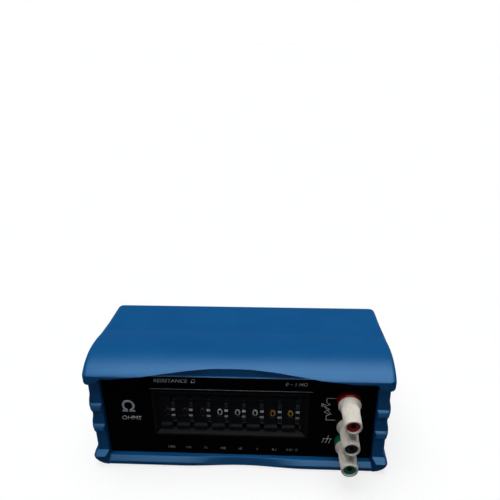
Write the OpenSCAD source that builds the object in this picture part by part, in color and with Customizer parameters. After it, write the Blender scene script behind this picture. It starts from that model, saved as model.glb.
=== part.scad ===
// Decade resistance box: a moulded two-piece case with a recessed front panel,
// eight thumbwheel decades and three binding posts.
// +Z is up and the front faces -Y. The origin is under the middle of the whole part, on the table.
// Most shapes are drawn with y = 0 on the panel's face and z = 0 on the case's bottom.

/* [Case] */
// Width over the lid
case_w = 214.6; // [210:0.2:226]
// Panel face to the back of the case
case_back = 93; // [88:0.5:112]
// How far the lid's lip stands ahead of the panel
lip_reach = 7.7; // [7:0.1:10]
// Height of the brow's crown above the case's bottom
crown_h = 89; // [87:0.5:94]
// Crown's distance behind the panel face
crown_y = 14.5; // [12:0.5:17]
// Height of the deck where the brow starts to rise
deck_h = 83.2; // [82:0.2:84]
// Height of the deck at its back edge
deck_back_h = 79; // [78.6:0.2:81]
// Where the brow starts, behind the panel face
brow_start = 48; // [45:0.5:54]
// Height of the lip's upper edge
lip_h = 82; // [81:0.2:83]
// Height of the lip's front edge face
lip_t = 2.7; // [2:0.1:3.2]
// Height of the lid's lower edge
split_h = 74.5; // [73:0.5:75]
// Thickness of the moulded walls
wall = 2.5; // [2:0.1:3]
// Radius of the lid's upper side edges
edge_r = 3.6; // [2.5:0.1:4.5]
// Radius of the lid's lower side edges
skirt_r = 2.4; // [1.5:0.1:3]
// Radius of the lid's corners, seen from above
lid_corner_r = 5; // [4.6:0.1:7]
// Height of the finger arch in the lip, at its middle
arch_h = 85.9; // [84:0.1:86]
// Half the width of the finger arch
arch_half = 84; // [70:1:88]
// Middle of the finger arch, from the case's middle
arch_x = -4; // [-6:0.5:0]

/* [Side walls] */
// How far the lid stands out past the wall
overhang = 3; // [2.6:0.1:3.4]
// How far a ridge stands out of the side wall
ridge_out = 1.3; // [0.8:0.1:2]
// How far a ridge stands out of the front, below its crease
ridge_front = 1.6; // [1:0.1:2.4]
// Height of the lower ridge's middle
ridge_low_z = 37.6; // [36:0.2:40]
// Distance between the two ridges
ridge_gap = 18.8; // [18:0.1:20]
// Half the height of a ridge
ridge_half = 8.7; // [7:0.1:8.9]
// Radius under the rounded foot of the wall
foot_r = 8.6; // [7:0.2:10]
// Height over which the foot fades into the wall
foot_fade = 9; // [7:0.5:10]
// Radius of the wall's corners, seen from above
wall_corner_r = 1.6; // [1:0.1:2.4]

/* [Panels] */
// Width of the panel that shows
panel_w = 192; // [190:0.5:193]
// Lower edge of the panel that shows
panel_low = 7.35; // [7:0.05:9]
// Upper edge of the panel that shows
panel_high = 78.4; // [77.8:0.1:78.8]
// Thickness of the front and rear panels
panel_t = 2; // [1.5:0.1:2.4]
// How deep the panels sit in their grooves
groove_d = 2.6; // [2:0.1:2.9]
// How far the sill stands ahead of the panel
sill_reach = 5.7; // [5:0.1:6.5]
// Height of the sill's front face
sill_face = 2.2; // [1.5:0.1:3]
// How far the rear panel is set in from the back
rear_inset = 5; // [4.5:0.1:6]

/* [Feet and screws] */
// How far the rubber feet stand out
foot_stand = 1.5; // [1:0.1:3]
// Diameter of a rubber foot
pad_d = 12; // [8:0.5:13]
// Screw bosses' distance from the middle
boss_x = 86; // [84:0.5:88]
// Front bosses' distance behind the panel face
boss_y = 23; // [22:0.5:26]
// Height where the base's bosses meet the lid's
boss_split = 40; // [34:1:46]
// Diameter of a screw's shank
screw_d = 2.9; // [2.5:0.1:3.2]
// Length of a screw under its head
screw_len = 16; // [12:1:20]

/* [Thumbwheels] */
// Number of decades
decades = 8; // [4:1:8]
// Width of one switch module
pitch = 12.7; // [12.4:0.05:12.9]
// Middle of the switch bank, from the case's middle
bank_x = -6.1; // [-8:0.1:-4]
// Height of the wheels' axis
wheel_z = 44.2; // [43:0.1:46]
// Radius of the finger wheel over its teeth
wheel_r = 16; // [15:0.1:16.4]
// Radius of the digit drum
drum_r = 12.5; // [11.5:0.1:12.6]
// Number of finger teeth
teeth = 20; // [10:10:20]
// Depth of the finger teeth
tooth_d = 1.6; // [1:0.1:2]
// Switch faces' distance behind the panel face
face_y = 3.2; // [3:0.1:3.6]
// Height of a switch module
body_h = 38; // [37:0.5:40]
// Length of a switch module behind its face
body_len = 31; // [30.5:0.5:36]
// Height of the opening in the window frame
window_h = 31.2; // [30:0.2:32]
// Width of the window frame's slope
bevel = 2.8; // [2:0.1:3]
// Length of a contact board behind its module
board_tail = 16; // [14.5:0.5:20]

/* [Binding posts] */
// Posts' distance from the case's middle
post_x = 76.9; // [74:0.1:79]
// Height of the top post
post_top_z = 60.6; // [59:0.1:62]
// Distance between posts
post_pitch = 19; // [18.5:0.05:19.05]
// Diameter of the coloured collar
collar_d = 16; // [14:0.1:16.6]
// Height of the coloured collar
collar_t = 5.5; // [4.5:0.1:6]
// Diameter of the coloured core
core_d = 6.4; // [6.2:0.1:6.8]
// Diameter of the plug socket
socket_d = 4; // [3.9:0.05:4.1]
// Depth of the plug socket
socket_depth = 20; // [15:0.5:20]
// Diameter of the nut's rear flange
nut_flange_d = 15.8; // [15:0.1:17]
// Diameter of the nut's end
nut_end_d = 11.6; // [11.4:0.1:12.6]
// Bore in the nut's end
nut_bore_d = 9.4; // [9:0.1:9.8]
// Nut's end, ahead of the panel face
nut_reach = 27.3; // [26:0.1:30]
// Diameter of the post's thread
stem_d = 8; // [7.6:0.1:8.2]

/* [Hidden] */
$fn = 48;
// Clearances: between flat pieces, between pieces that turn, and of a piece in its hole
flat_gap = 0.1;
turn_gap = 0.3;
hole_gap = 0.1;
pin_gap = 0.05;
// A cut's overrun past the face that it opens
over = 1;

case_blue = [0.11, 0.33, 0.57];
ink_black = [0.03, 0.03, 0.035];
ivory = [0.84, 0.81, 0.74];
brass = [0.78, 0.62, 0.30];
nickel = [0.72, 0.72, 0.70];
board_green = [0.10, 0.36, 0.20];
resistor_tan = [0.62, 0.50, 0.36];
post_names = ["red", "black", "green"];
post_colours = [[0.55, 0.04, 0.04], [0.05, 0.05, 0.05], [0.05, 0.42, 0.28]];

// The part's middle from front to back lies half way between the nuts' ends and the case's back
panel_y = (nut_reach - case_back) / 2;
half_w = case_w / 2;
wall_x = half_w - overhang;
inner_x = wall_x - wall;
front_wall_y = lip_reach - overhang;
panel_half = panel_w / 2;
groove_half = panel_half + groove_d;
slot_t = panel_t + 2 * flat_gap;
rib_back = panel_t + flat_gap + wall;
rear_slot = case_back - rear_inset - panel_t - flat_gap;
rear_rib = rear_slot - wall;
rim_t = 1.2;
rim_bead = 0.7;
lid_cheek = 1.8;

// The lid's edge roundings, limited by the height of its back
back_h = deck_back_h - split_h;
upper_r = min(edge_r, back_h * 0.58);
lower_r = min(skirt_r, back_h * 0.4);

tongue_t = wall / 2;
tongue_h = 2.4;
tongue_inset = 8;
lid_cavity_x = inner_x + tongue_t + flat_gap;

boss_back_y = case_back - 18;
boss_at = [[-boss_x, boss_y], [boss_x, boss_y], [-boss_x, boss_back_y], [boss_x, boss_back_y]];
base_boss_d = 9;
lid_boss_d = 7.5;
screw_head_d = 5.6;
screw_head_t = 2.2;
screw_play = 0.6;
screw_grip = 6;
screw_room = 2;
screw_seat = boss_split - screw_grip;
foot_front_y = 6;
foot_back_y = case_back - 8;
foot_x = boss_x - 3;
pad_seat = 0.8;
pad_round = 0.8;

wheel_y = face_y + 0.7 + drum_r;
body_left = -pitch / 2;
board_t = 1.2;
board_left = pitch / 2 - board_t;
body_wall = 1.2;
drum_left = -3.1;
ring_left = 2.2;
ring_right = board_left - 0.25;
slot_left = 2;
axle_r = 3;
hub_r = 4.6;
rim_r = drum_r - 1.6;
web_left = -0.6;
web_right = 0.9;
wiper_t = 0.4;
body_back = face_y + body_len;
rod_d = 3;
rod_y = body_back - 4.2;
rod_z = body_h / 2 - 3;
rod_nut_t = 2.4;
rod_nut_d = 6.2;
rod_past_nut = 0.8;
plate_t = 2;
bank_w = decades * pitch;
bank_left = bank_x - bank_w / 2;
bank_right = bank_x + bank_w / 2;
rod_end = bank_right + plate_t + rod_nut_t + rod_past_nut;
window_half = bank_w / 2 + 0.2;
frame_edge = 2;
cutout_x = window_half + bevel + frame_edge;
cutout_z = window_h / 2 + bevel + frame_edge;
frame_flange = 2.5;
// The detent leaf, behind the wheel's teeth, and the front cover over a board's edge
leaf_y = wheel_y + wheel_r + 1;
leaf_half = 8;
leaf_t = 0.4;
front_t = 0.8;
resistor_d = 2.5;
resistor_len = 6.4;
resistor_span = 12;
resistor_rows = 4;
resistor_pitch = 8.4;

contact_d = 4.9;
mouth_d = 4.3;
core_end = nut_reach - 1.3;
contact_end = core_end - 1;
spigot_end = panel_t + 5;
nut_start = collar_t + turn_gap;
insert_d = 10.4;
insert_start = nut_start + 0.5;
insert_end = insert_start + 4.4;
stem_end = collar_t + 9.5;
washer_t = 1;
back_nut_t = 3.6;
tag_y = spigot_end + 1.3;
tag_t = 0.8;
tag_nut_t = 2.4;
tag_reach = 9;
stud_d = 3.9;
stud_len = 5.5;
tag_eye_d = 8;
tag_w = 3;
tag_nut_d = 7.4;
washer_d = 14;
back_nut_d = 13.8;
wire_d = 1.6;

// Routes of the hook-up wires, from each post's tag to the bank
tag_x = post_x - tag_reach + tag_w / 2;
red_route = [
    [tag_x, tag_y + tag_t, post_top_z], [tag_x, 16, post_top_z], [64, 24, 66], [50, 38, 67],
    [20, 44, 67], [-14, 44, 67], [-28, 44, 66.6], [-36, 43, 62], [bank_left + pitch + 4, 42, 58],
    [bank_left + pitch, 42, 58]
];
black_route = [
    [tag_x, tag_y + tag_t, post_z(1)], [tag_x, 16, post_z(1)], [66, 26, 45], [60, 38, 49],
    [bank_right + 5, 42, 50], [bank_right, 42, 50]
];
green_route = [
    [tag_x, tag_y + tag_t, post_z(2)], [tag_x, 16, post_z(2)], [66, 24, 24], [60, rod_y - 1, 27],
    [rod_end + 4, rod_y, wheel_z - rod_z], [rod_end, rod_y, wheel_z - rod_z]
];

numbers = [for (i = [1:decades]) i];

function post_z(i) = post_top_z - i * post_pitch;
function module_x(i) = bank_left + (i - 0.5) * pitch;

// Points of an arc about c
function arc(c, r, from, to, n) =
    [for (i = [0:n]) c + r * [cos(from + (to - from) * i / n), sin(from + (to - from) * i / n)]];

// Points of a cubic curve
function cubic(a, b, c, d, n) = [for (i = [0:n]) let (t = i / n, u = 1 - t)
    u * u * u * a + 3 * u * u * t * b + 3 * u * t * t * c + t * t * t * d];

function backwards(list) = [for (i = [len(list) - 1:-1:0]) list[i]];

// The lid's outline from the side, as [y, z] from its back over the brow to the lip
function lid_curve() = let (
    crown = [crown_y, crown_h],
    brow = [brow_start, deck_h],
    lip = [-lip_reach, lip_h],
    rise = (brow_start - crown_y) / 3,
    roll = (crown_y + lip_reach) * 0.48,
    fall = (crown_h - lip_h) * 0.45
) concat(
    [[case_back, deck_back_h]],
    cubic(brow, brow + [-rise, (crown_h - deck_h) / 2], crown + [rise, 0], crown, 9),
    [for (i = [1:9]) cubic(crown, crown + [-roll, 0], lip + [fall, fall], lip, 9)[i]]
);

function lid_z(y) = lookup(y, backwards(lid_curve()));

// How far a rounded edge of radius r falls at a distance in from the side
function edge_drop(inset, r) = inset >= r ? 0 : r - sqrt(r * r - (r - inset) * (r - inset));

// One raised-cosine swell about c
function swell(z, c, half) = abs(z - c) >= half ? 0 : (1 + cos(180 * (z - c) / half)) / 2;

ridge_at = [ridge_low_z, ridge_low_z + ridge_gap];

// How far the side wall stands out past its recess, at a height
function side_out(z) = z <= foot_r
    ? overhang - foot_r + sqrt(foot_r * foot_r - (foot_r - z) * (foot_r - z))
    : overhang * swell(z, foot_r, foot_fade)
        + ridge_out * (swell(z, ridge_at[0], ridge_half) + swell(z, ridge_at[1], ridge_half));

// A front ridge: a crease at height c, a swelling face below it, and a turn back to the wall
ridge_face = ridge_half * 2 / 3;
function front_ridge(z, c) = z >= c ? 0
    : z >= c - ridge_face ? sqrt((c - z) / ridge_face)
    : swell(z, c - ridge_face, ridge_half - ridge_face);

// The same for the front and back, where the foot leans forward and has a flat slope on top
foot_toe = sill_reach + 0.2 - front_wall_y;
foot_top = foot_r + foot_fade / 2;
function front_out(z) = z <= foot_r ? foot_toe + (overhang - foot_toe) * z / foot_r
    : z < foot_top ? overhang * (foot_top - z) / (foot_top - foot_r)
    : ridge_front * (front_ridge(z, ridge_at[0]) + front_ridge(z, ridge_at[1]));

wall_steps = concat(
    [for (a = [0:15:90]) foot_r * (1 - cos(a))],
    [for (i = [1:6]) foot_r + foot_fade * i / 6],
    [for (c = ridge_at) for (i = [-6:6]) c + ridge_half * i / 6],
    [split_h]
);

// Height of the arch in the lip at x
function arch_z(x) = let (low = lip_h - lip_t) low + (arch_h - low) * cos(90 * (x - arch_x) / arch_half);

// Smooth path through points, and a round tube along it
function along(p, i, t) = let (
    n = len(p) - 1,
    a = i > 0 ? p[i - 1] : 2 * p[0] - p[1],
    d = i + 2 <= n ? p[i + 2] : 2 * p[n] - p[n - 1],
    b = p[i],
    c = p[i + 1]
) 0.5 * (2 * b + t * (c - a) + t * t * (2 * a - 5 * b + 4 * c - d) + t * t * t * (3 * b - a - 3 * c + d));
function smooth_path(p, n) =
    concat([for (i = [0:len(p) - 2]) for (k = [0:n - 1]) along(p, i, k / n)], [p[len(p) - 1]]);
function unit(v) = v / norm(v);

module tube(points, d) {
    sides = 8;
    path = smooth_path(points, 3);
    last = len(path) - 1;
    tilt = [0.2, 0.3, 1];
    rings = [for (i = [0:last]) let (
        t = unit(path[min(i + 1, last)] - path[max(i - 1, 0)]),
        u = unit(cross(tilt, t)),
        v = cross(t, u)
    ) for (k = [0:sides - 1]) path[i] + d / 2 * (cos(360 * k / sides) * u + sin(360 * k / sides) * v)];
    polyhedron(rings, loft_faces(sides, last), convexity = 6);
}

// Places of the drawing frames
module at_panel() translate([0, panel_y, foot_stand]) children();
module at_module(i) translate([module_x(i), 0, wheel_z]) children();
module at_post(i) translate([post_x, 0, post_z(i)]) rotate([90, 0, 0]) children();
// A [y, z] outline drawn out along x, an [x, z] outline along y, and a [x, y] outline along z
module along_x(from, to) translate([from, 0, 0]) rotate([90, 0, 90]) linear_extrude(to - from) children();
module along_y(from, to) translate([0, to, 0]) rotate([90, 0, 0]) linear_extrude(to - from) children();
module block(low, high) translate(low) cube(high - low);
module rod_x(from, to, d) translate([from, 0, 0]) rotate([0, 90, 0]) cylinder(h = to - from, d = d);

// Faces of a loft over rings of n points, stacked in order from ring 0 to the last
function loft_faces(n, last) = concat(
    [for (i = [0:last - 1]) for (k = [0:n - 1]) let (m = (k + 1) % n)
        [i * n + k, (i + 1) * n + k, (i + 1) * n + m, i * n + m]],
    [[for (k = [0:n - 1]) k], [for (k = [n - 1:-1:0]) last * n + k]]);

// The lid's outer skin, lofted from side to side so that its upper, lower and corner edges are rounded
module lid_skin() {
    insets = [for (a = [90:-15:0]) lid_corner_r * (1 - sin(a))];
    stations = concat([for (d = insets) d - half_w], [for (d = backwards(insets)) half_w - d]);
    back_y = case_back - upper_r;
    outline = concat(
        arc([back_y, lid_z(back_y) - upper_r], upper_r, 0, 75, 5),
        [for (p = lid_curve()) if (p[0] <= back_y) p]);
    depth = case_back + lip_reach;
    rings = [for (x = stations) let (
        inset = half_w - abs(x),
        low = split_h + edge_drop(inset, lower_r),
        drop = edge_drop(inset, upper_r),
        corner = edge_drop(inset, lid_corner_r),
        squeeze = (depth - 2 * corner) / depth
    ) concat(
        [for (p = outline) let (top = lid_z(p[0]))
            [x, corner - lip_reach + (p[0] + lip_reach) * squeeze,
                low + (p[1] - split_h) * (top - drop - low) / (top - split_h)]],
        [[x, corner - lip_reach, low], [x, case_back - corner, low]]
    )];
    polyhedron([for (r = rings) each r], loft_faces(len(rings[0]), len(rings) - 1), convexity = 8);
}

// Everything below the lid's curve lowered by t
module under_lid(t, half) {
    along_x(-half, half) polygon(concat([for (p = lid_curve()) p - [0, t]],
        [[-lip_reach - over, lip_h - t], [-lip_reach - over, split_h - over], [case_back, split_h - over]]));
}

module lid_recess() {
    // The corner gussets slope from the lip's edge down to the skirt
    low = split_h + 1;
    high = lip_h - lip_t;
    wide = panel_half + lid_cheek;
    narrow = wide - (high - low);
    side = [[wide, split_h - over], [wide, low], [narrow, high], [narrow, crown_h]];
    intersection() {
        under_lid(lip_t, half_w);
        along_y(-lip_reach - over, -rim_t)
            polygon(concat(side, [for (p = backwards(side)) [-p[0], p[1]]]));
    }
}

module finger_arch() {
    steps = [for (i = [-12:12]) arch_x + arch_half * i / 12];
    along_y(-lip_reach - over, -rim_t) polygon(concat([for (x = steps) [x, arch_z(x)]],
        [[arch_x + arch_half, split_h], [arch_x - arch_half, split_h]]));
}

module top_cover() color(case_blue) at_panel() difference() {
    union() {
        difference() {
            lid_skin();
            intersection() {
                under_lid(wall, lid_cavity_x);
                block([-half_w, rib_back, 0], [half_w, rear_rib, crown_h]);
            }
            lid_recess();
            finger_arch();
            // Front panel's upper groove, the opening below its rim, and the rear panel's upper groove
            block([-groove_half, -flat_gap, split_h - over],
                [groove_half, slot_t - flat_gap, panel_high + groove_d]);
            block([-panel_half, -rim_t - over, split_h - over],
                [panel_half, rib_back + over, panel_high]);
            block([-groove_half, rear_slot, split_h - over],
                [groove_half, rear_slot + slot_t, split_h + groove_d]);
        }
        // Bead along the lower edge of the panel's rim
        block([-panel_half + lid_cheek, -rim_t - rim_bead, panel_high],
            [panel_half - lid_cheek, -rim_t / 2, panel_high + rim_bead]);
        for (b = boss_at)
            translate([b[0], b[1], boss_split])
                cylinder(h = lid_z(b[1]) - boss_split - wall / 2, d = lid_boss_d);
    }
    for (b = boss_at)
        translate([b[0], b[1], boss_split - over])
            cylinder(h = screw_len - screw_grip + screw_room + over, d = screw_d + hole_gap);
}

// The base's outer form, lofted upwards through round-cornered outlines
module base_form() {
    r = wall_corner_r;
    rings = [for (z = wall_steps) let (
        x = wall_x + side_out(z) - r,
        front = r - front_wall_y - front_out(z),
        back = case_back - overhang + front_out(z) - r,
        corners = [[x, back, 0], [-x, back, 90], [-x, front, 180], [x, front, 270]]
    ) [for (c = corners) for (p = arc([c[0], c[1]], r, c[2], c[2] + 90, 6)) [p[0], p[1], z]]];
    polyhedron([for (r = rings) each r], loft_faces(len(rings[0]), len(rings) - 1), convexity = 8);
}

// The front opening: its sides flare ahead of the wall and its bottom is the sill's slope
module front_opening() {
    flare = [[panel_half, over], [panel_half, -front_wall_y],
        [panel_half + overhang + over, -lip_reach - over]];
    step = 0.8;
    sill = [[over, panel_low], [-step, panel_low], [-step, panel_low - step],
        [-sill_reach, sill_face], [-sill_reach, -over], [-lip_reach - over, -over]];
    intersection() {
        linear_extrude(3 * split_h, center = true)
            polygon(concat(flare, [for (p = backwards(flare)) [-p[0], p[1]]]));
        along_x(-half_w, half_w)
            polygon(concat(sill, [[-lip_reach - over, split_h + over], [over, split_h + over]]));
    }
}

module base_tray() color(case_blue) at_panel() difference() {
    union() {
        difference() {
            base_form();
            block([-inner_x, rib_back, wall], [inner_x, rear_rib, split_h + over]);
            front_opening();
            // Front panel's groove and the opening behind it
            block([-groove_half, -flat_gap, panel_low - groove_d],
                [groove_half, slot_t - flat_gap, split_h + over]);
            block([-panel_half, 0, panel_low], [panel_half, rib_back + over, split_h + over]);
            // Rear panel's groove and opening
            block([-groove_half, rear_slot, panel_low - groove_d],
                [groove_half, rear_slot + slot_t, split_h + over]);
            block([-panel_half, rear_rib - over, panel_low],
                [panel_half, case_back + over, split_h + over]);
        }
        // Tongues that centre the lid
        for (s = [-1, 1])
            block(
                [s > 0 ? inner_x : -inner_x - tongue_t, rib_back + tongue_inset, split_h - wall],
                [s > 0 ? inner_x + tongue_t : -inner_x, rear_rib - tongue_inset, split_h + tongue_h]);
        for (b = boss_at)
            translate([b[0], b[1], wall / 2]) cylinder(h = boss_split - wall / 2, d = base_boss_d);
    }
    for (b = boss_at) translate([b[0], b[1], -over]) {
        cylinder(h = boss_split + 2 * over, d = screw_d + screw_play);
        cylinder(h = screw_seat + over, d = screw_head_d + screw_play);
    }
    for (x = [-foot_x, foot_x], y = [foot_front_y, foot_back_y])
        translate([x, y, -over]) cylinder(h = pad_seat + over, d = pad_d + 2 * hole_gap);
}

module rubber_feet() color(ink_black) at_panel()
    for (x = [-foot_x, foot_x], y = [foot_front_y, foot_back_y])
        translate([x, y, -foot_stand]) rotate_extrude()
            polygon(concat([[0, 0]], arc([pad_d / 2 - pad_round, pad_round], pad_round, -90, 0, 5),
                [[pad_d / 2, foot_stand + pad_seat], [0, foot_stand + pad_seat]]));

module case_screws() color(nickel) at_panel()
    for (b = boss_at) translate([b[0], b[1], screw_seat]) {
        translate([0, 0, -screw_head_t]) cylinder(h = screw_head_t, d = screw_head_d);
        cylinder(h = screw_len, d = screw_d);
    }

module front_panel() color(ink_black) at_panel() difference() {
    block([flat_gap - groove_half, 0, panel_low - groove_d],
        [groove_half - flat_gap, panel_t, panel_high + groove_d - flat_gap]);
    block([bank_x - cutout_x, -over, wheel_z - cutout_z],
        [bank_x + cutout_x, panel_t + over, wheel_z + cutout_z]);
    for (i = [0:2]) at_post(i) translate([0, 0, -panel_t - over])
        cylinder(h = panel_t + 2 * over, d = stem_d + 2 * hole_gap);
}

module rear_panel() color(ink_black) at_panel()
    block([flat_gap - groove_half, rear_slot + flat_gap, panel_low - groove_d],
        [groove_half - flat_gap, rear_slot + flat_gap + panel_t, split_h + groove_d - flat_gap]);

// The black frame in the panel's cut-out, with its slopes down to the switch faces
module window_frame() color(ink_black) at_panel() translate([bank_x, 0, wheel_z]) difference() {
    union() {
        block([flat_gap - cutout_x, 0, flat_gap - cutout_z],
            [cutout_x - flat_gap, face_y, cutout_z - flat_gap]);
        block([-cutout_x - frame_flange, panel_t, -cutout_z - frame_flange],
            [cutout_x + frame_flange, face_y, cutout_z + frame_flange]);
    }
    reach = bevel / face_y;
    front = over * reach;
    intersection() {
        along_x(-2 * window_half, 2 * window_half) slope(window_h / 2, front, reach);
        linear_extrude(4 * window_h, center = true) mirror([1, -1]) slope(window_half, front, reach);
    }
}

// Section of a sloped opening: half is its half width at the switch faces
module slope(half, front, reach)
    polygon([[-over, -half - bevel - front], [face_y + over, -half + front],
        [face_y + over, half - front], [-over, half + bevel + front]]);

module switch_body(i) color(ink_black) at_panel() at_module(i) {
    ledge_y = face_y - 1.6;
    ledge_outer = window_h / 2 - 0.2;
    ledge_inner = ledge_outer - 3.2;
    ledge_root = ledge_inner - 1.6;
    ledge_base = face_y + 0.4;
    digit_half = 4.2;
    spring_half = leaf_half + 0.2;
    difference() {
        union() {
            block([body_left, face_y, -body_h / 2], [board_left, body_back, body_h / 2]);
            block([body_left, face_y, -body_h / 2], [pitch / 2, face_y + front_t, body_h / 2]);
            // Ledges above and below the digits
            for (s = [-1, 1]) along_x(body_left, pitch / 2)
                polygon([[ledge_base, s * ledge_outer], [ledge_y, s * ledge_outer],
                    [ledge_y, s * ledge_inner], [face_y, s * ledge_root], [ledge_base, s * ledge_root]]);
        }
        translate([0, wheel_y, 0]) {
            rod_x(body_left + body_wall, ring_left, 2 * (drum_r + turn_gap));
            rod_x(slot_left, board_left, 2 * (wheel_r + 0.5));
        }
        block([slot_left, ledge_y - over, -ledge_outer - over], [board_left, wheel_y, ledge_outer + over]);
        block([drum_left - turn_gap, ledge_y, -digit_half], [ring_left, wheel_y, digit_half]);
        // Pocket of the detent spring
        block([ring_left, wheel_y + wheel_r - over, -spring_half],
            [board_left + over, leaf_y + leaf_t, spring_half]);
        for (s = [-1, 1]) translate([0, rod_y, s * rod_z])
            rod_x(body_left - over, pitch, rod_d + 2 * hole_gap);
    }
    // Axle that the wheel turns on
    translate([0, wheel_y, 0]) rod_x(body_left + body_wall / 2, board_left, 2 * axle_r);
}

// Finger wheel and digit drum in one moulding
module thumbwheel(i) color(ink_black) at_panel() at_module(i) translate([0, wheel_y, 0]) rotate([0, 90, 0]) {
    step = 360 / teeth;
    root = wheel_r - tooth_d;
    bore = axle_r + pin_gap;
    hub_left = body_left + body_wall + 0.2;
    hub_right = board_left - 1;
    lap = 0.4;
    rotate_extrude() {
        translate([bore, hub_left]) square([hub_r - bore, hub_right - hub_left]);
        translate([hub_r - lap, web_left]) square([rim_r - hub_r + 2 * lap, web_right - web_left]);
        translate([rim_r, drum_left]) square([drum_r - rim_r, ring_right - drum_left]);
    }
    translate([0, 0, ring_left]) linear_extrude(ring_right - ring_left) difference() {
        // Each tooth as [share of a step, radius], turned so that a digit shows between two tips
        tooth = [[0.03, root], [0.15, wheel_r], [0.51, wheel_r], [0.63, root]];
        polygon([for (k = [0:teeth - 1]) for (p = tooth)
            p[1] * [cos((k + p[0]) * step), sin((k + p[0]) * step)]]);
        circle(r = drum_r - lap);
    }
}

// Sprung contact arms on the wheel's web
module wiper(i) color(brass) at_panel() at_module(i) translate([0, wheel_y, 0]) rotate([0, 90, 0]) {
    arm_w = 2;
    tip = board_left - 0.25;
    foot = hub_r + 1;
    bend = hub_r + 3;
    end = rim_r - 0.8;
    translate([0, 0, web_right]) difference() {
        cylinder(h = wiper_t, r = hub_r + 2.4);
        translate([0, 0, -over]) cylinder(h = wiper_t + 2 * over, r = hub_r + hole_gap);
    }
    for (a = [0, 180]) rotate([0, 0, a]) rotate([90, 0, 0]) linear_extrude(arm_w, center = true)
        polygon([[foot, web_right], [bend, web_right], [end - 0.6, tip - wiper_t], [end, tip - wiper_t],
            [end, tip], [end - 0.9, tip], [bend - 0.2, web_right + wiper_t], [foot, web_right + wiper_t]]);
}

module contact_boards() color(board_green) at_panel() for (i = numbers) at_module(i) difference() {
    board_half = body_h / 2 - 1;
    block([board_left, face_y + front_t, -board_half], [pitch / 2, body_back + board_tail, board_half]);
    for (s = [-1, 1]) translate([0, rod_y, s * rod_z]) rod_x(0, pitch, rod_d + 2 * hole_gap);
}

// Leaf springs that click into the wheels' teeth
module detent_springs() color(nickel) at_panel() for (i = numbers) at_module(i) {
    mid = (ring_left + ring_right) / 2;
    leaf_w = 2;
    bump_r = 0.7;
    bump_half = 1.2;
    along_x(mid - leaf_w / 2, mid + leaf_w / 2) polygon(concat(
        [[leaf_y, leaf_half], [leaf_y, bump_half]],
        arc([leaf_y, 0], bump_r, 90, 270, 8),
        [[leaf_y, -bump_half], [leaf_y, -leaf_half]],
        [[leaf_y + leaf_t, -leaf_half], [leaf_y + leaf_t, leaf_half]]));
}

module end_plates() color(ink_black) at_panel() translate([0, 0, wheel_z])
    for (x = [bank_left - plate_t, bank_right]) difference() {
        block([x, face_y, -body_h / 2], [x + plate_t, body_back, body_h / 2]);
        for (s = [-1, 1]) translate([0, rod_y, s * rod_z])
            rod_x(x - over, x + plate_t + over, rod_d + 2 * hole_gap);
    }

module tie_rods() color(nickel) at_panel() for (s = [-1, 1])
    translate([0, rod_y, wheel_z + s * rod_z]) rod_x(2 * bank_x - rod_end, rod_end, rod_d);

module rod_nuts() color(nickel) at_panel()
    for (s = [-1, 1], x = [bank_left - plate_t - rod_nut_t, bank_right + plate_t])
        translate([0, rod_y, wheel_z + s * rod_z]) difference() {
            translate([x, 0, 0]) rotate([0, 90, 0]) cylinder(h = rod_nut_t, d = rod_nut_d, $fn = 6);
            rod_x(x - over, x + rod_nut_t + over, rod_d + hole_gap);
        }

// Precision resistors on the tails of the contact boards
module resistors() color(resistor_tan) at_panel() for (i = numbers) at_module(i)
    for (r = [0:resistor_rows - 1]) {
        x = board_left - resistor_d / 2 - pin_gap;
        y = body_back + board_tail / 2;
        z = (r - (resistor_rows - 1) / 2) * resistor_pitch;
        lead_d = 0.6;
        translate([x, y, z]) rotate([90, 0, 0]) {
            cylinder(h = resistor_len, d = resistor_d, center = true);
            cylinder(h = resistor_span + lead_d, d = lead_d, center = true);
        }
        for (s = [-1, 1]) translate([0, y + s * resistor_span / 2, z]) rod_x(x, board_left, lead_d);
    }

// Coloured moulding: collar, threaded stem, core round the socket, and spigot through the panel
module post_body(i) color(post_colours[i]) at_panel() at_post(i) difference() {
    dome_r = 2.4;
    union() {
        rotate_extrude() polygon(concat([[0, 0], [collar_d / 2, 0]],
            arc([collar_d / 2 - dome_r, collar_t - dome_r], dome_r, 10, 90, 7), [[0, collar_t]]));
        cylinder(h = core_end, d = core_d);
        translate([0, 0, -spigot_end]) cylinder(h = spigot_end + stem_end, d = stem_d);
    }
    // The contact's bore, and the narrower mouth ahead of it
    translate([0, 0, -spigot_end - over])
        cylinder(h = spigot_end + over + contact_end + flat_gap, d = contact_d + 2 * pin_gap);
    cylinder(h = core_end + over, d = mouth_d);
}

module socket_contacts() color(nickel) at_panel() for (i = [0:2]) at_post(i) difference() {
    union() {
        translate([0, 0, -spigot_end]) cylinder(h = spigot_end + contact_end, d = contact_d);
        translate([0, 0, -tag_y]) cylinder(h = tag_y - spigot_end, d = stem_d - 1);
        translate([0, 0, -tag_y - stud_len]) cylinder(h = stud_len + over, d = stud_d);
    }
    translate([0, 0, contact_end - socket_depth]) cylinder(h = socket_depth + over, d = socket_d);
}

// Threaded ring inside a nut
module post_insert(i) color(brass) at_panel() at_post(i) difference() {
    translate([0, 0, insert_start]) cylinder(h = insert_end - insert_start, d = insert_d);
    translate([0, 0, insert_start - over]) cylinder(h = insert_end, d = stem_d + 2 * pin_gap);
}

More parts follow.
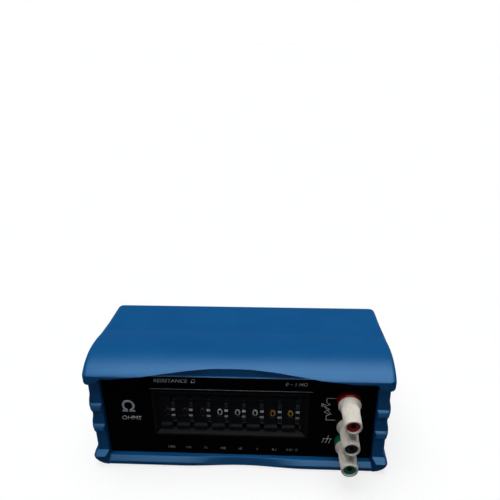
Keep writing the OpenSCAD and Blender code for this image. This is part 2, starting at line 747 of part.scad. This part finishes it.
// Ivory nut: a flared flange, then a slim fluted sleeve
module post_nut(i) color(ivory) at_panel() at_post(i) {
    flange_r = nut_flange_d / 2;
    end_r = nut_end_d / 2;
    neck_r = end_r + 0.4;
    neck_z = nut_start + 6;
    round_r = 0.7;
    flutes = 30;
    flute_d = 0.2;
    difference() {
        rotate_extrude() polygon(concat(
            [[nut_bore_d / 2, nut_start], [flange_r - 0.5, nut_start]],
            arc([flange_r - 0.6, nut_start + 0.6], 0.6, -60, 60, 4),
            cubic([flange_r - 0.5, nut_start + 1.4], [neck_r + 0.5, nut_start + 2.4],
                [neck_r, neck_z - 2], [neck_r, neck_z], 6),
            arc([end_r - round_r, nut_reach - round_r], round_r, 0, 90, 4),
            [[nut_bore_d / 2, nut_reach]]));
        translate([0, 0, nut_start - over])
            cylinder(h = insert_end - nut_start + over + flat_gap, d = insert_d + 2 * pin_gap);
        translate([0, 0, neck_z - 1]) linear_extrude(nut_reach) difference() {
            circle(r = flange_r);
            polygon([for (k = [0:2 * flutes - 1])
                (k % 2 == 0 ? neck_r + flute_d : end_r - flute_d)
                    * [cos(180 * k / flutes), sin(180 * k / flutes)]]);
        }
    }
}

module ring_of(from, to, outer, hole, sides) difference() {
    translate([0, 0, -to]) cylinder(h = to - from, d = outer, $fn = sides);
    translate([0, 0, -to - over]) cylinder(h = to - from + 2 * over, d = hole);
}

module post_washers() color(nickel) at_panel() for (i = [0:2]) at_post(i)
    ring_of(panel_t, panel_t + washer_t, washer_d, stem_d + 2 * hole_gap, $fn);

module post_back_nuts() color(brass) at_panel() for (i = [0:2]) at_post(i)
    ring_of(panel_t + washer_t, panel_t + washer_t + back_nut_t, back_nut_d, stem_d + hole_gap, 6);

module solder_tags() color(nickel) at_panel() for (i = [0:2]) at_post(i) difference() {
    translate([0, 0, -tag_y - tag_t]) linear_extrude(tag_t) {
        circle(d = tag_eye_d);
        translate([-tag_reach, -tag_w / 2]) square([tag_reach, tag_w]);
    }
    translate([0, 0, -tag_y - tag_t - over]) cylinder(h = tag_t + 2 * over, d = stud_d + hole_gap);
}

module tag_nuts() color(brass) at_panel() for (i = [0:2]) at_post(i)
    ring_of(tag_y + tag_t, tag_y + tag_t + tag_nut_t, tag_nut_d, stud_d + hole_gap, 6);

module hookup_wire(i) color(post_colours[i]) at_panel()
    tube([red_route, black_route, green_route][i], wire_d);

top_cover();
base_tray();
front_panel();
rear_panel();
rubber_feet();
case_screws();
window_frame();
for (i = numbers) {
    switch_body(i);
    thumbwheel(i);
    wiper(i);
}
contact_boards();
detent_springs();
end_plates();
tie_rods();
rod_nuts();
resistors();
for (i = [0:2]) {
    post_body(i);
    post_insert(i);
    post_nut(i);
    hookup_wire(i);
}
socket_contacts();
post_washers();
post_back_nuts();
solder_tags();
tag_nuts();
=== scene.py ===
import math

import bpy
from mathutils import Matrix, Vector


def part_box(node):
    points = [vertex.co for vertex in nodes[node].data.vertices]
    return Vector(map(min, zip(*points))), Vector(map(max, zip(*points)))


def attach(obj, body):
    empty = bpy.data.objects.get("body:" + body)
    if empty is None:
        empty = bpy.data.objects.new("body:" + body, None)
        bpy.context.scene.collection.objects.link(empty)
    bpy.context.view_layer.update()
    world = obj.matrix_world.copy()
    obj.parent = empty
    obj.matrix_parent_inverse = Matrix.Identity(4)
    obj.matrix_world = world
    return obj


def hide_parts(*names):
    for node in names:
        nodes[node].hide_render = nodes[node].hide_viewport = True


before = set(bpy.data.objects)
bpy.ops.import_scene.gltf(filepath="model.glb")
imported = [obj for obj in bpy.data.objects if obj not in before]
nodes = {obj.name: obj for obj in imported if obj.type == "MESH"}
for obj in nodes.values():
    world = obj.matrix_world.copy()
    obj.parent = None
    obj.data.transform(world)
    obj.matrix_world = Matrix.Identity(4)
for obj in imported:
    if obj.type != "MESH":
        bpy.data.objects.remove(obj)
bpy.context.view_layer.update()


# Rubber feet and case screws: moulded black rubber discs pressed into round seats under the tray,
# and plated steel screws that come up through the tray's bosses into the lid.
class Wire:
    """A socket in a material's nodes. Arithmetic on it adds Math nodes."""

    def __init__(self, socket):
        self.socket = socket
        self.tree = socket.id_data

    def node(self, kind, settings, values, out=0):
        made = self.tree.nodes.new(kind)
        for key, value in settings.items():
            setattr(made, key, value)
        for key, value in values.items():
            if isinstance(value, Wire):
                self.tree.links.new(value.socket, made.inputs[key])
            else:
                made.inputs[key].default_value = value
        return Wire(made.outputs[out])

    def math(self, operation, a, b=0.0):
        return self.node("ShaderNodeMath", {"operation": operation}, {0: a, 1: b})

    def __add__(self, other):
        return self.math("ADD", self, other)

    def __radd__(self, other):
        return self.math("ADD", other, self)

    def __sub__(self, other):
        return self.math("SUBTRACT", self, other)

    def __rsub__(self, other):
        return self.math("SUBTRACT", other, self)

    def __mul__(self, other):
        return self.math("MULTIPLY", self, other)

    def __rmul__(self, other):
        return self.math("MULTIPLY", other, self)

    def between(self, low, high, to_low=0.0, to_high=1.0):
        """This value, eased from one range to another."""
        ends = {"From Min": low, "From Max": high, "To Min": to_low, "To Max": to_high}
        return self.node("ShaderNodeMapRange", {"interpolation_type": "SMOOTHSTEP"},
                         {"Value": self, **ends}, "Result")

    def blend(self, a, b):
        """Colour a where this value is 0, and colour b where it is 1."""
        return self.node("ShaderNodeMix", {"data_type": "RGBA"}, {0: self, 6: a, 7: b}, 2)

    def noise(self, scale, detail=2.0, stretch=(1, 1, 1), turn=(0, 0, 0)):
        """Even noise about 0.5 over the surface. Scale is in cycles per metre."""
        place = self.node("ShaderNodeMapping", {}, {"Vector": self, "Scale": stretch, "Rotation": turn})
        return self.node("ShaderNodeTexNoise", {},
                         {"Vector": place, "Scale": scale, "Detail": detail}, "Fac")

    def grain(self, height, depth):
        """A normal that follows a height over the surface, raised by a depth in metres."""
        return self.node("ShaderNodeBump", {},
                         {"Strength": 1.0, "Distance": depth, "Height": height}, "Normal")


def new_finish(name, settings):
    """A finish with its even values set: its material, its shader, and the object's own coordinates."""
    material = bpy.data.materials.new(name)
    material.use_nodes = True
    tree = material.node_tree
    shader = tree.nodes["Principled BSDF"]
    for key, value in settings.items():
        shader.inputs[key].default_value = value
    return material, shader, Wire(tree.nodes.new("ShaderNodeTexCoord").outputs["Object"])


def feed(shader, values):
    for key, wire in values.items():
        wire.tree.links.new(wire.socket, shader.inputs[key])


def dress(material, *names):
    """Gives CAD nodes a finish in place of their plain one."""
    for name in names:
        nodes[name].data.materials.clear()
        nodes[name].data.materials.append(material)


def tone(red, green, blue):
    return (red, green, blue, 1.0)


rubber, shader, place = new_finish("foot_rubber", {"Specular IOR Level": 0.25})
feed(shader, {
    "Base Color": place.noise(60).blend(tone(0.012, 0.012, 0.012), tone(0.024, 0.024, 0.024)),
    "Roughness": place.noise(300).between(0.2, 0.8, 0.75, 0.9),
    "Normal": place.grain(place.noise(1800), 0.00008),
})
dress(rubber, "rubber_feet")


def bright_metal(name, colour, rough, along):
    """Turned or plated metal, with fine marks drawn out along one way."""
    material, shader, place = new_finish(name, {"Metallic": 1.0})
    marks = place.noise(2200, 3.0, along)
    dull = tuple(c * 0.72 for c in colour[:3]) + (1.0,)
    feed(shader, {
        "Base Color": place.noise(90, 3.0).between(0.3, 0.75).blend(colour, dull),
        "Roughness": marks.between(0.25, 0.75, rough * 0.75, rough * 1.35),
        "Normal": place.grain(marks, 0.00003),
    })
    return material


steel = bright_metal("plated_steel", tone(0.60, 0.60, 0.61), 0.3, (0.05, 1, 1))
brass = bright_metal("turned_brass", tone(0.72, 0.52, 0.22), 0.28, (1, 0.05, 1))
nickel = bright_metal("nickel_plate", tone(0.66, 0.64, 0.60), 0.22, (1, 0.05, 1))
dress(steel, "case_screws")


# Base tray: the lower half of the case, one blue ABS moulding with two rounded ridges and a full foot
# along each side. The mould leaves a fine spark-eroded grain, and its edges are slightly rounded.
MM = 0.001


def eased(node, name, edge, material, body, turn=28, shape=None):
    """A node's own form as a finished piece: facets merged, edges eased and curves shaded smooth.

    An edge is rounded to the width edge where it turns by more than turn degrees. Before that, shape may
    change the merged form.
    """
    bpy.ops.object.select_all(action="DESELECT")
    piece = bpy.data.objects.new(name, nodes[node].data.copy())
    bpy.context.scene.collection.objects.link(piece)
    piece.select_set(True)
    bpy.context.view_layer.objects.active = piece
    bpy.ops.mesh.customdata_custom_splitnormals_clear()
    bpy.ops.object.mode_set(mode="EDIT")
    bpy.ops.mesh.select_all(action="SELECT")
    bpy.ops.mesh.remove_doubles(threshold=0.002 * MM)
    bpy.ops.mesh.dissolve_limited(angle_limit=math.radians(0.3))
    bpy.ops.object.mode_set(mode="OBJECT")
    if shape:
        shape(piece)
    rounding = piece.modifiers.new("rounding", "BEVEL")
    rounding.limit_method = "ANGLE"
    rounding.angle_limit = math.radians(turn)
    rounding.width = edge
    rounding.segments = 2
    rounding.use_clamp_overlap = False
    bpy.ops.object.modifier_apply(modifier="rounding")
    bpy.ops.object.shade_smooth_by_angle(angle=math.radians(35))
    flat = piece.modifiers.new("flat", "WEIGHTED_NORMAL")
    flat.keep_sharp = True
    bpy.ops.object.modifier_apply(modifier="flat")
    piece.data.materials.clear()
    piece.data.materials.append(material)
    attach(piece, body)
    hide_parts(node)


blue, shader, place = new_finish("blue_moulding", {
    "Specular IOR Level": 0.003,
    "Specular Tint": tone(11, 17, 20),
})
mottle = place.noise(26, 4.0).between(0.3, 0.7)
spark = place.noise(2400, 3.0)
smear = place.noise(30, 4.0, (1, 5, 5), (0, 0, 0.5)).between(0.45, 0.75)
feed(shader, {
    "Base Color": mottle.blend(tone(0.0022, 0.084, 0.258), tone(0.0032, 0.093, 0.280)),
    "Roughness": smear * 0.06 + spark.between(0.2, 0.8, 0.33, 0.40),
    "Normal": place.grain(spark, 0.00003),
})
panel_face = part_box("front_panel")[0].y
case_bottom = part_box("base_tray")[0].z


def wavy_sill(tray):
    """Draws the sill's ledge out to a crease, and its middle back in a shallow wave for the fingers."""
    sill_half, sill_top = 97.2, 7.5
    middle, half_wave, cuts = 3.0, 46.0, 6
    slack, near = 0.05, 0.02

    def spot(v):
        """A corner's place in mm, from the panel's face and the bottom of the case."""
        return v.co.x / MM, (v.co.y - panel_face) / MM, (v.co.z - case_bottom) / MM

    def pick_sill():
        """Selects the faces in front of the panel, from its lower edge down."""
        for face in tray.data.polygons:
            corners = [spot(tray.data.vertices[i]) for i in face.vertices]
            face.select = all(abs(x) < sill_half and y < slack and z < sill_top for x, y, z in corners)

    pick_sill()
    bpy.ops.object.mode_set(mode="EDIT")
    bpy.ops.mesh.select_mode(type="FACE")
    for cut in range(-cuts, cuts + 1):
        cut_x = (middle + cut * half_wave / cuts) * MM
        bpy.ops.mesh.bisect(plane_co=(cut_x, 0, 0), plane_no=(1, 0, 0))
        bpy.ops.object.mode_set(mode="OBJECT")
        pick_sill()
        bpy.ops.object.mode_set(mode="EDIT")
    bpy.ops.object.mode_set(mode="OBJECT")
    # From each corner of the plain sill, as (y, z), to its place at the ends and in the middle
    moves = {
        (-0.8, 6.55): ((-3.9, 7.3), (-2.6, 7.3)),
        (-4.7, 3.09): ((-4.7, 5.39), (-4.7, 5.39)),
        (-5.7, 2.2): ((-5.7, 3.0), (-3.5, 1.0)),
        (-5.7, 0.0): ((-5.7, 0.0), (-3.5, 0.0)),
    }
    for v in tray.data.vertices:
        x, y, z = spot(v)
        for (old_y, old_z), (end, mid) in moves.items():
            if abs(x) < sill_half and abs(y - old_y) < near and abs(z - old_z) < near:
                away = min(abs(x - middle) / half_wave, 1)
                wave = (1 + math.cos(math.pi * away)) / 2
                v.co.y = panel_face + (end[0] + (mid[0] - end[0]) * wave) * MM
                v.co.z = case_bottom + (end[1] + (mid[1] - end[1]) * wave) * MM


eased("base_tray", "tray", 0.3 * MM, blue, "case", 17, wavy_sill)


# Switch bank: eight black thumbwheel modules side by side, each a moulded body with a ledge above and
# below its digit, clamped between end plates by two plated tie rods. The faces that look up are painted a
# lighter grey that stands in for the overhead light on them.
matt_black, shader, place = new_finish("switch_black", {"Specular IOR Level": 0.004})
facing = place.node("ShaderNodeNewGeometry", {}, {}, "Normal")
# Painted light: faces whose normal points up turn a lighter grey, as if lit from above.
dust_and_painted_light = place.node("ShaderNodeSeparateXYZ", {}, {"Vector": facing}, "Z").between(0.3, 0.8)
clean = place.noise(120, 3.0).blend(tone(0.0060, 0.0060, 0.0062), tone(0.0085, 0.0085, 0.0088))
feed(shader, {
    "Base Color": dust_and_painted_light.blend(clean, tone(0.022, 0.022, 0.022)),
    "Roughness": place.noise(700).between(0.2, 0.8, 0.5, 0.66),
    "Normal": place.grain(place.noise(3000), 0.00003),
})
decades = [name.rsplit("_", 1)[1] for name in nodes if name.startswith("thumbwheel_")]
for i in decades:
    eased(f"switch_body_{i}", f"switch_module_{i}", 0.15 * MM, matt_black, "case")
dress(matt_black, "end_plates")
dress(steel, "tie_rods", "rod_nuts", "detent_springs")

board, shader, place = new_finish("board_green", {"Specular IOR Level": 0.4})
feed(shader, {
    "Base Color": place.noise(420, 1.0, (1, 0.15, 1)).between(0.45, 0.55).blend(
        tone(0.012, 0.085, 0.040), tone(0.020, 0.120, 0.058)),
    "Roughness": place.noise(500).between(0.2, 0.8, 0.3, 0.42),
})
dress(board, "contact_boards")

# Resistors: tan dipped bodies with colour bands, their tinned leads bent down to the boards.
resistor, shader, place = new_finish("resistor_tan", {"Specular IOR Level": 0.5})
resistor_low, resistor_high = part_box("resistors")
resistor_middle = (resistor_low.y + resistor_high.y) / 2
body_half = 3.1 * MM
band_half = 0.25 * MM
from_middle = place.node("ShaderNodeSeparateXYZ", {}, {"Vector": place}, "Y") - resistor_middle
along = from_middle.math("ABSOLUTE", from_middle)
body_part = along.between(body_half, body_half + 0.15 * MM, 1.0, 0.0)
colour = body_part.blend(tone(0.62, 0.61, 0.58), tone(0.50, 0.33, 0.16))
for band_y, shade in ((-2.2, tone(0.13, 0.04, 0.015)), (-1.2, tone(0.01, 0.01, 0.01)),
                      (-0.2, tone(0.45, 0.05, 0.02)), (2.0, tone(0.45, 0.30, 0.08))):
    from_band = from_middle - band_y * MM
    band = from_band.math("ABSOLUTE", from_band).between(band_half, band_half + 0.08 * MM, 1.0, 0.0)
    colour = band.blend(colour, shade)
feed(shader, {"Base Color": colour, "Roughness": place.noise(900).between(0.2, 0.8, 0.28, 0.42)})
dress(resistor, "resistors")


# Thumbwheels: black wheels whose teeth stick out beside the digit for a fingertip. The tips of the teeth
# that show at 0, and one tooth down by the ledge, carry pale painted glints in place of highlights. A
# brass wiper turns with each wheel.
wheel_low, wheel_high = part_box("thumbwheel_1")
axle_y = (wheel_low.y + wheel_high.y) / 2
axle_z = (wheel_low.z + wheel_high.z) / 2
wheel_r = (wheel_high.z - wheel_low.z) / 2
wheel_black, shader, place = new_finish("wheel_black", {"Specular IOR Level": 0.006})
side = place.node("ShaderNodeSeparateXYZ", {}, {"Vector": place}, "Y") - axle_y
rise = place.node("ShaderNodeSeparateXYZ", {}, {"Vector": place}, "Z") - axle_z
radius = side.math("SQRT", side * side + rise * rise)
swing = side.math("ARCTAN2", rise, side * -1)
# Painted highlight: pale glints on the tooth tips just in front and on one tip by the ledge, turning with
# the wheel.
in_front = swing.math("ABSOLUTE", swing).between(math.radians(14), math.radians(17), 1.0, 0.0)
from_ledge = swing + math.radians(45)
at_ledge = from_ledge.math("ABSOLUTE", from_ledge).between(math.radians(5), math.radians(8), 1.0, 0.0)
glint_places = in_front + at_ledge
tip = radius.between(wheel_r - 0.16 * MM, wheel_r - 0.04 * MM)
painted_glint = tip * glint_places * place.noise(300, 2.0).between(0.2, 0.5, 0.55, 1.0)
feed(shader, {
    "Base Color": painted_glint.blend(tone(0.0028, 0.0028, 0.0030), tone(0.60, 0.60, 0.60)),
    "Roughness": place.noise(600).between(0.2, 0.8, 0.4, 0.55),
})
for i in decades:
    eased(f"thumbwheel_{i}", f"wheel_{i}_moulding", 0.15 * MM, wheel_black, f"wheel_{i}")
    dress(brass, f"wiper_{i}")

# Digits: 0 to 9 hot-stamped round each drum, in dark red on the high decades, white in the middle
# and amber on the low ones.
drum_r = 12.5 * MM
digit_h = 6.0 * MM
digit_share = 0.70
digit_weight = 0.022 * digit_h
digit_step = math.radians(36)
digit_low = 1.0 * MM
digit_left = 1.3 * MM
digit_cuts = 4
ink_t = 0.03 * MM


def ink(name, colour, worn):
    material, shader, place = new_finish(name, {"Specular IOR Level": 0.03})
    thin = place.noise(1500, 3.0).between(0.35, 0.75)
    feed(shader, {
        "Base Color": thin.blend(colour, worn),
        "Roughness": place.noise(900).between(0.2, 0.8, 0.45, 0.6),
    })
    return material


def lettering(name, words, size, weight=0.0, slant=0.0):
    """Words as a flat mesh in the XY plane, centred on the origin."""
    bpy.ops.object.select_all(action="DESELECT")
    bpy.ops.object.text_add()
    piece = bpy.context.object
    piece.name = name
    piece.data.body = words
    piece.data.size = size
    piece.data.offset = weight
    piece.data.shear = slant
    piece.data.align_x = "CENTER"
    piece.data.align_y = "CENTER"
    piece.data.resolution_u = 8
    bpy.ops.object.convert(target="MESH")
    return bpy.context.object


def joined(pieces, name):
    bpy.ops.object.select_all(action="DESELECT")
    for piece in pieces:
        piece.select_set(True)
    bpy.context.view_layer.objects.active = pieces[0]
    if len(pieces) > 1:
        bpy.ops.object.join()
    piece = bpy.context.object
    piece.name = name
    piece.data.name = name
    return piece


def thickened(piece, thickness):
    """Ink as a thin closed layer that stands on what it is printed on."""
    bpy.ops.object.select_all(action="DESELECT")
    piece.select_set(True)
    bpy.context.view_layer.objects.active = piece
    layer = piece.modifiers.new("layer", "SOLIDIFY")
    layer.thickness = thickness
    layer.offset = 1.0
    bpy.ops.object.modifier_apply(modifier="layer")


digits = []
for value in range(10):
    digit = lettering(f"digit_{value}", str(value), digit_h / digit_share, digit_weight)
    bpy.ops.object.mode_set(mode="EDIT")
    for cut in range(-digit_cuts, digit_cuts + 1):
        bpy.ops.mesh.select_all(action="SELECT")
        bpy.ops.mesh.bisect(plane_co=(0, cut * digit_h / (2 * digit_cuts), 0), plane_no=(0, 1, 0))
    bpy.ops.object.mode_set(mode="OBJECT")
    low = min(v.co.y for v in digit.data.vertices)
    high = max(v.co.y for v in digit.data.vertices)
    for v in digit.data.vertices:
        turn = (v.co.y - (low + high) / 2 - digit_low) / drum_r + digit_step * value
        v.co = (v.co.x, axle_y - drum_r * math.cos(turn), axle_z + drum_r * math.sin(turn))
    digits.append(digit)
digit_ring = joined(digits, "digits_1")
thickened(digit_ring, ink_t)
inks = {
    "red": ink("digit_ink_red", tone(0.018, 0.003, 0.0025), tone(0.011, 0.0028, 0.0025)),
    "white": ink("digit_ink_white", tone(0.82, 0.84, 0.88), tone(0.62, 0.64, 0.68)),
    "amber": ink("digit_ink_amber", tone(0.66, 0.36, 0.04), tone(0.48, 0.26, 0.03)),
}
ink_of = ["red"] * 3 + ["white"] * 3 + ["amber"] * 2
ring_form = digit_ring.data.copy()
for i in decades:
    ring = digit_ring if i == "1" else bpy.data.objects.new(f"digits_{i}", ring_form.copy())
    if i != "1":
        bpy.context.scene.collection.objects.link(ring)
    low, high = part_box(f"thumbwheel_{i}")
    ring.data.transform(Matrix.Translation(((low.x + high.x) / 2 - digit_left, 0, 0)))
    ring.data.materials.clear()
    ring.data.materials.append(inks[ink_of[int(i) - 1]])
    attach(ring, f"wheel_{i}")


# Front and rear panels: flat plates painted matt black, held in grooves of the case. The black frame round
# the wheels is a separate moulding whose sloped edges lead down to the switch faces.
panel_black, shader, place = new_finish("panel_black", {"Specular IOR Level": 0.001})
feed(shader, {
    "Base Color": place.noise(90, 3.0).blend(tone(0.0007, 0.0008, 0.0008), tone(0.0013, 0.0014, 0.0015)),
    "Roughness": place.noise(1200).between(0.2, 0.8, 0.55, 0.7),
    "Normal": place.grain(place.noise(2600), 0.00003),
})
dress(panel_black, "front_panel")
rear_paint, shader, place = new_finish("rear_paint", {"Specular IOR Level": 0.12})
cloud = place.noise(60, 4.0).between(0.3, 0.7)
feed(shader, {
    "Base Color": cloud.blend(tone(0.010, 0.010, 0.011), tone(0.015, 0.015, 0.016)),
    "Roughness": place.noise(1200).between(0.2, 0.8, 0.42, 0.58),
    "Normal": place.grain(place.noise(2600), 0.00004),
})
dress(rear_paint, "rear_panel")
eased("window_frame", "window_bezel", 0.25 * MM, matt_black, "case")

# Panel printing: thin pale ink, screen-printed. It carries the quantity and its range, a rule, one value
# under each decade, and the signs of the terminals: a variable resistor and a chassis earth.
print_ink = ink("print_ink", tone(0.74, 0.75, 0.76), tone(0.55, 0.56, 0.57))
dim_ink = ink("print_ink_dim", tone(0.34, 0.345, 0.35), tone(0.24, 0.245, 0.25))
stand_up = Matrix.Rotation(math.radians(90), 4, "X")


def on_panel(piece, x, z, material):
    piece.data.transform(Matrix.Translation((x * MM, panel_face, case_bottom + z * MM)) @ stand_up)
    piece.matrix_world = Matrix.Identity(4)
    thickened(piece, ink_t)
    piece.data.materials.clear()
    piece.data.materials.append(material)
    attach(piece, "case")


def stroke(name, points, width):
    """Straight pen strokes through points, in the XY plane, as one flat piece."""
    runs = []
    for (ax, ay), (bx, by) in zip(points[:-1], points[1:]):
        bpy.ops.object.select_all(action="DESELECT")
        bpy.ops.mesh.primitive_plane_add(size=1)
        run = bpy.context.object
        long = math.hypot(bx - ax, by - ay) + width
        shape = Matrix.Translation(((ax + bx) / 2 * MM, (ay + by) / 2 * MM, 0))
        shape = shape @ Matrix.Rotation(math.atan2(by - ay, bx - ax), 4, "Z")
        run.data.transform(shape @ Matrix.Diagonal((long * MM, width * MM, 1, 1)))
        runs.append(run)
    return joined(runs, name)


on_panel(lettering("quantity_mark", "RESISTANCE  Ω", 4.3 * MM, 0.05 * MM, 0.2), -44.5, 73.6, print_ink)
on_panel(lettering("range_mark", "0 – 1 MΩ", 3.9 * MM, 0.04 * MM, 0.2), 40.5, 72.7, print_ink)
on_panel(stroke("rule", [(-57, 0), (57, 0)], 0.5), -5.0, 66.5, dim_ink)
on_panel(lettering("ohm_sign", "Ω", 13.5 * MM, 0.25 * MM), -79.0, 49.5, print_ink)
on_panel(lettering("ohm_word", "OHMS", 5.2 * MM, 0.05 * MM, 0.2), -78.0, 39.5, print_ink)
values = ["100k", "10k", "1k", "100", "10", "1", "0.1", "0.01 Ω"]
for i, words in zip(decades, values):
    low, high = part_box(f"switch_body_{i}")
    value_mark = lettering(f"decade_{i}", words, 3.1 * MM, 0.02 * MM, 0.15)
    on_panel(value_mark, (low.x + high.x) / 2 / MM, 12.7, dim_ink)
sign_pen = 0.45
zigzag = [(68.75, 61.6), (61.9, 61.6), (61.9, 57.6), (64.4, 56.2), (60.4, 54.2), (64.4, 51.8),
          (60.4, 49.4), (64.4, 47.2), (61.95, 45.8), (61.95, 42.2), (68.8, 42.2)]
resistor_sign = [
    stroke("zigzag", zigzag, sign_pen),
    stroke("arrow", [(65.4, 47.4), (58.6, 56.6)], sign_pen),
    stroke("arrow_head", [(58.7, 53.9), (58.4, 56.9), (61.2, 55.7)], sign_pen),
]
on_panel(joined(resistor_sign, "resistor_sign"), 0, 0, print_ink)
earth_pen, bar_z, leg_z = 0.5, 24.8, 20.9
earth_sign = [
    stroke("earth_stem", [(64.6, 27.6), (64.0, bar_z)], earth_pen),
    stroke("earth_bar", [(61.0, bar_z), (66.8, bar_z)], earth_pen),
]
for x in (61.4, 64.0, 66.4):
    earth_sign.append(stroke("earth_leg", [(x, bar_z), (x - 1.3, leg_z)], earth_pen))
on_panel(joined(earth_sign, "earth_sign"), 0, 0, print_ink)


# Binding posts: a red, a black and a green moulding through the panel, each with a nickel socket down
# its middle, and an ivory fluted nut that screws along its stem, streaked by handling.
def post_plastic(name, colour, deep):
    material, shader, place = new_finish(name, {"Specular IOR Level": 0.04})
    feed(shader, {
        "Base Color": place.noise(140, 3.0).blend(colour, deep),
        "Roughness": place.noise(800).between(0.2, 0.8, 0.24, 0.36),
    })
    return material


post_tones = {
    "red": (tone(0.33, 0.007, 0.005), tone(0.27, 0.005, 0.004)),
    "black": (tone(0.003, 0.003, 0.003), tone(0.005, 0.005, 0.005)),
    "green": (tone(0.008, 0.190, 0.105), tone(0.006, 0.155, 0.085)),
}
ivory, shader, place = new_finish("ivory_moulding", {"Specular IOR Level": 0.04})
dirt = place.noise(160, 4.0, (3, 0.4, 3)).between(0.5, 0.8)
feed(shader, {
    "Base Color": (dirt * 0.6).blend(tone(0.80, 0.745, 0.655), tone(0.58, 0.52, 0.43)),
    "Roughness": place.noise(700).between(0.2, 0.8, 0.38, 0.5),
    "Normal": place.grain(place.noise(1500, 2.0, (1, 0.05, 1)), 0.00004),
})
core_r, mouth_r = 3.2 * MM, 4.4 * MM


def flared_core(post):
    """Widens the front end of a post's core, so that its face fills the nut's bore."""
    low = min(v.co.y for v in post.data.vertices)
    front = [v for v in post.data.vertices if v.co.y < low + 0.2 * MM]
    x = (min(v.co.x for v in front) + max(v.co.x for v in front)) / 2
    z = (min(v.co.z for v in front) + max(v.co.z for v in front)) / 2
    for v in front:
        if math.hypot(v.co.x - x, v.co.z - z) > core_r - 0.1 * MM:
            v.co.x = x + (v.co.x - x) * mouth_r / core_r
            v.co.z = z + (v.co.z - z) * mouth_r / core_r


for colour, (bright, deep) in post_tones.items():
    plastic = post_plastic(f"post_{colour}", bright, deep)
    eased(f"post_body_{colour}", f"post_{colour}_moulding", 0.2 * MM, plastic, "case",
          shape=flared_core)
    eased(f"post_nut_{colour}", f"nut_{colour}_moulding", 0.08 * MM, ivory, f"nut_{colour}")
    dress(brass, f"post_insert_{colour}")
# Painted shade: the nickel socket contacts are made near black to stand in for the shade deep inside each
# socket.
dress(bright_metal("nickel_painted_shade", tone(0.012, 0.011, 0.010), 0.4, (1, 0.05, 1)), "socket_contacts")
dress(nickel, "post_washers", "solder_tags")
dress(brass, "post_back_nuts", "tag_nuts")


# Hook-up wires: thin insulated wires in the colours of their posts. They run inside the case, soldered
# to the posts' tags and to the bank.
for colour, shade in (("red", tone(0.36, 0.010, 0.008)), ("black", tone(0.010, 0.010, 0.011)),
                      ("green", tone(0.010, 0.17, 0.05))):
    sleeve, shader, place = new_finish(f"wire_{colour}", {"Specular IOR Level": 0.4})
    dust_and_painted_light = tuple(c * 0.8 + 0.01 for c in shade[:3]) + (1.0,)
    feed(shader, {
        "Base Color": place.noise(200, 3.0).blend(shade, dust_and_painted_light),
        "Roughness": place.noise(600).between(0.2, 0.8, 0.35, 0.5),
    })
    dress(sleeve, f"hookup_wire_{colour}")


# Lid: the upper half of the case, a blue ABS moulding whose deck rises to a brow and rolls down to
# a lip. It closes down over the panels, and screws from below hold it.
eased("top_cover", "lid", 0.4 * MM, blue, "case")


# Studio: a pale floor that keeps the shadow, a broad soft light overhead, and the camera in front,
# a little to the right and looking down.
def seen_directly(start):
    """1 for rays that show the background itself: camera, mirror and see-through rays."""
    path = {name: start.node("ShaderNodeLightPath", {}, {}, name)
            for name in ("Is Camera Ray", "Is Glossy Ray", "Is Transmission Ray")}
    return start.math("MAXIMUM", path["Is Camera Ray"],
                      start.math("MAXIMUM", path["Is Glossy Ray"], path["Is Transmission Ray"]))


bpy.ops.object.select_all(action="DESELECT")
bpy.ops.mesh.primitive_plane_add(size=8)
floor = bpy.context.object
floor.name = "floor"
paper = bpy.data.materials.new("paper")
paper.use_nodes = True
tree = paper.node_tree
tree.nodes.remove(tree.nodes["Principled BSDF"])
start = Wire(tree.nodes.new("ShaderNodeTexCoord").outputs["Object"])
dim = start.node("ShaderNodeBsdfDiffuse", {}, {"Color": tone(0.12, 0.12, 0.12)})
pale = start.node("ShaderNodeAddShader", {}, {
    0: start.node("ShaderNodeBsdfDiffuse", {}, {"Color": tone(0.28, 0.28, 0.28)}),
    1: start.node("ShaderNodeEmission", {}, {"Color": tone(1, 1, 1), "Strength": 0.76})})
mixed = start.node("ShaderNodeMixShader", {}, {0: seen_directly(start), 1: dim, 2: pale})
tree.links.new(mixed.socket, tree.nodes["Material Output"].inputs["Surface"])
floor.data.materials.append(paper)

world = bpy.data.worlds.new("studio")
world.use_nodes = True
tree = world.node_tree
start = Wire(tree.nodes.new("ShaderNodeTexCoord").outputs["Object"])
fill = start.node("ShaderNodeBackground", {}, {"Color": tone(0.62, 0.78, 1.0), "Strength": 0.08})
white = start.node("ShaderNodeBackground", {}, {"Color": tone(1, 1, 1), "Strength": 1.0})
mixed = start.node("ShaderNodeMixShader", {}, {0: seen_directly(start), 1: fill, 2: white})
tree.links.new(mixed.socket, tree.nodes["World Output"].inputs["Surface"])
bpy.context.scene.world = world

bpy.ops.object.light_add(type="SUN", rotation=(math.radians(2), math.radians(-6), 0))
overhead = bpy.context.object
overhead.data.energy = 2.5
overhead.data.angle = math.radians(50)

# Two lights show only in the gloss: a wide window over the roll, and the pale table in front
for name, tilt, lean, width, strength, shade in (("window", 7, 12, 74, 27, (1, 1, 1)),
                                                 ("table_glow", 78, 0, 30, 20, (0.55, 0.74, 1))):
    bpy.ops.object.light_add(type="SUN", rotation=(math.radians(tilt), math.radians(lean), 0))
    glow = bpy.context.object
    glow.name = name
    glow.data.color = shade
    glow.data.energy = strength
    glow.data.angle = math.radians(width)
    glow.visible_diffuse = False

lens = bpy.data.cameras.new("camera")
lens.sensor_width = 36
lens.lens = 38.92
camera = bpy.data.objects.new("camera", lens)
right = Vector((0.99876, 0.04849, -0.01123))
up = Vector((-0.01035, 0.42296, 0.90609))
back = Vector((0.04869, -0.90485, 0.42294))
stand = Vector((25.68, -331.47, 315.69)) * MM
camera.matrix_world = Matrix.Translation(stand) @ Matrix((right, up, back)).transposed().to_4x4()
bpy.context.scene.collection.objects.link(camera)
bpy.context.scene.camera = camera
bpy.context.scene.view_settings.view_transform = "Standard"
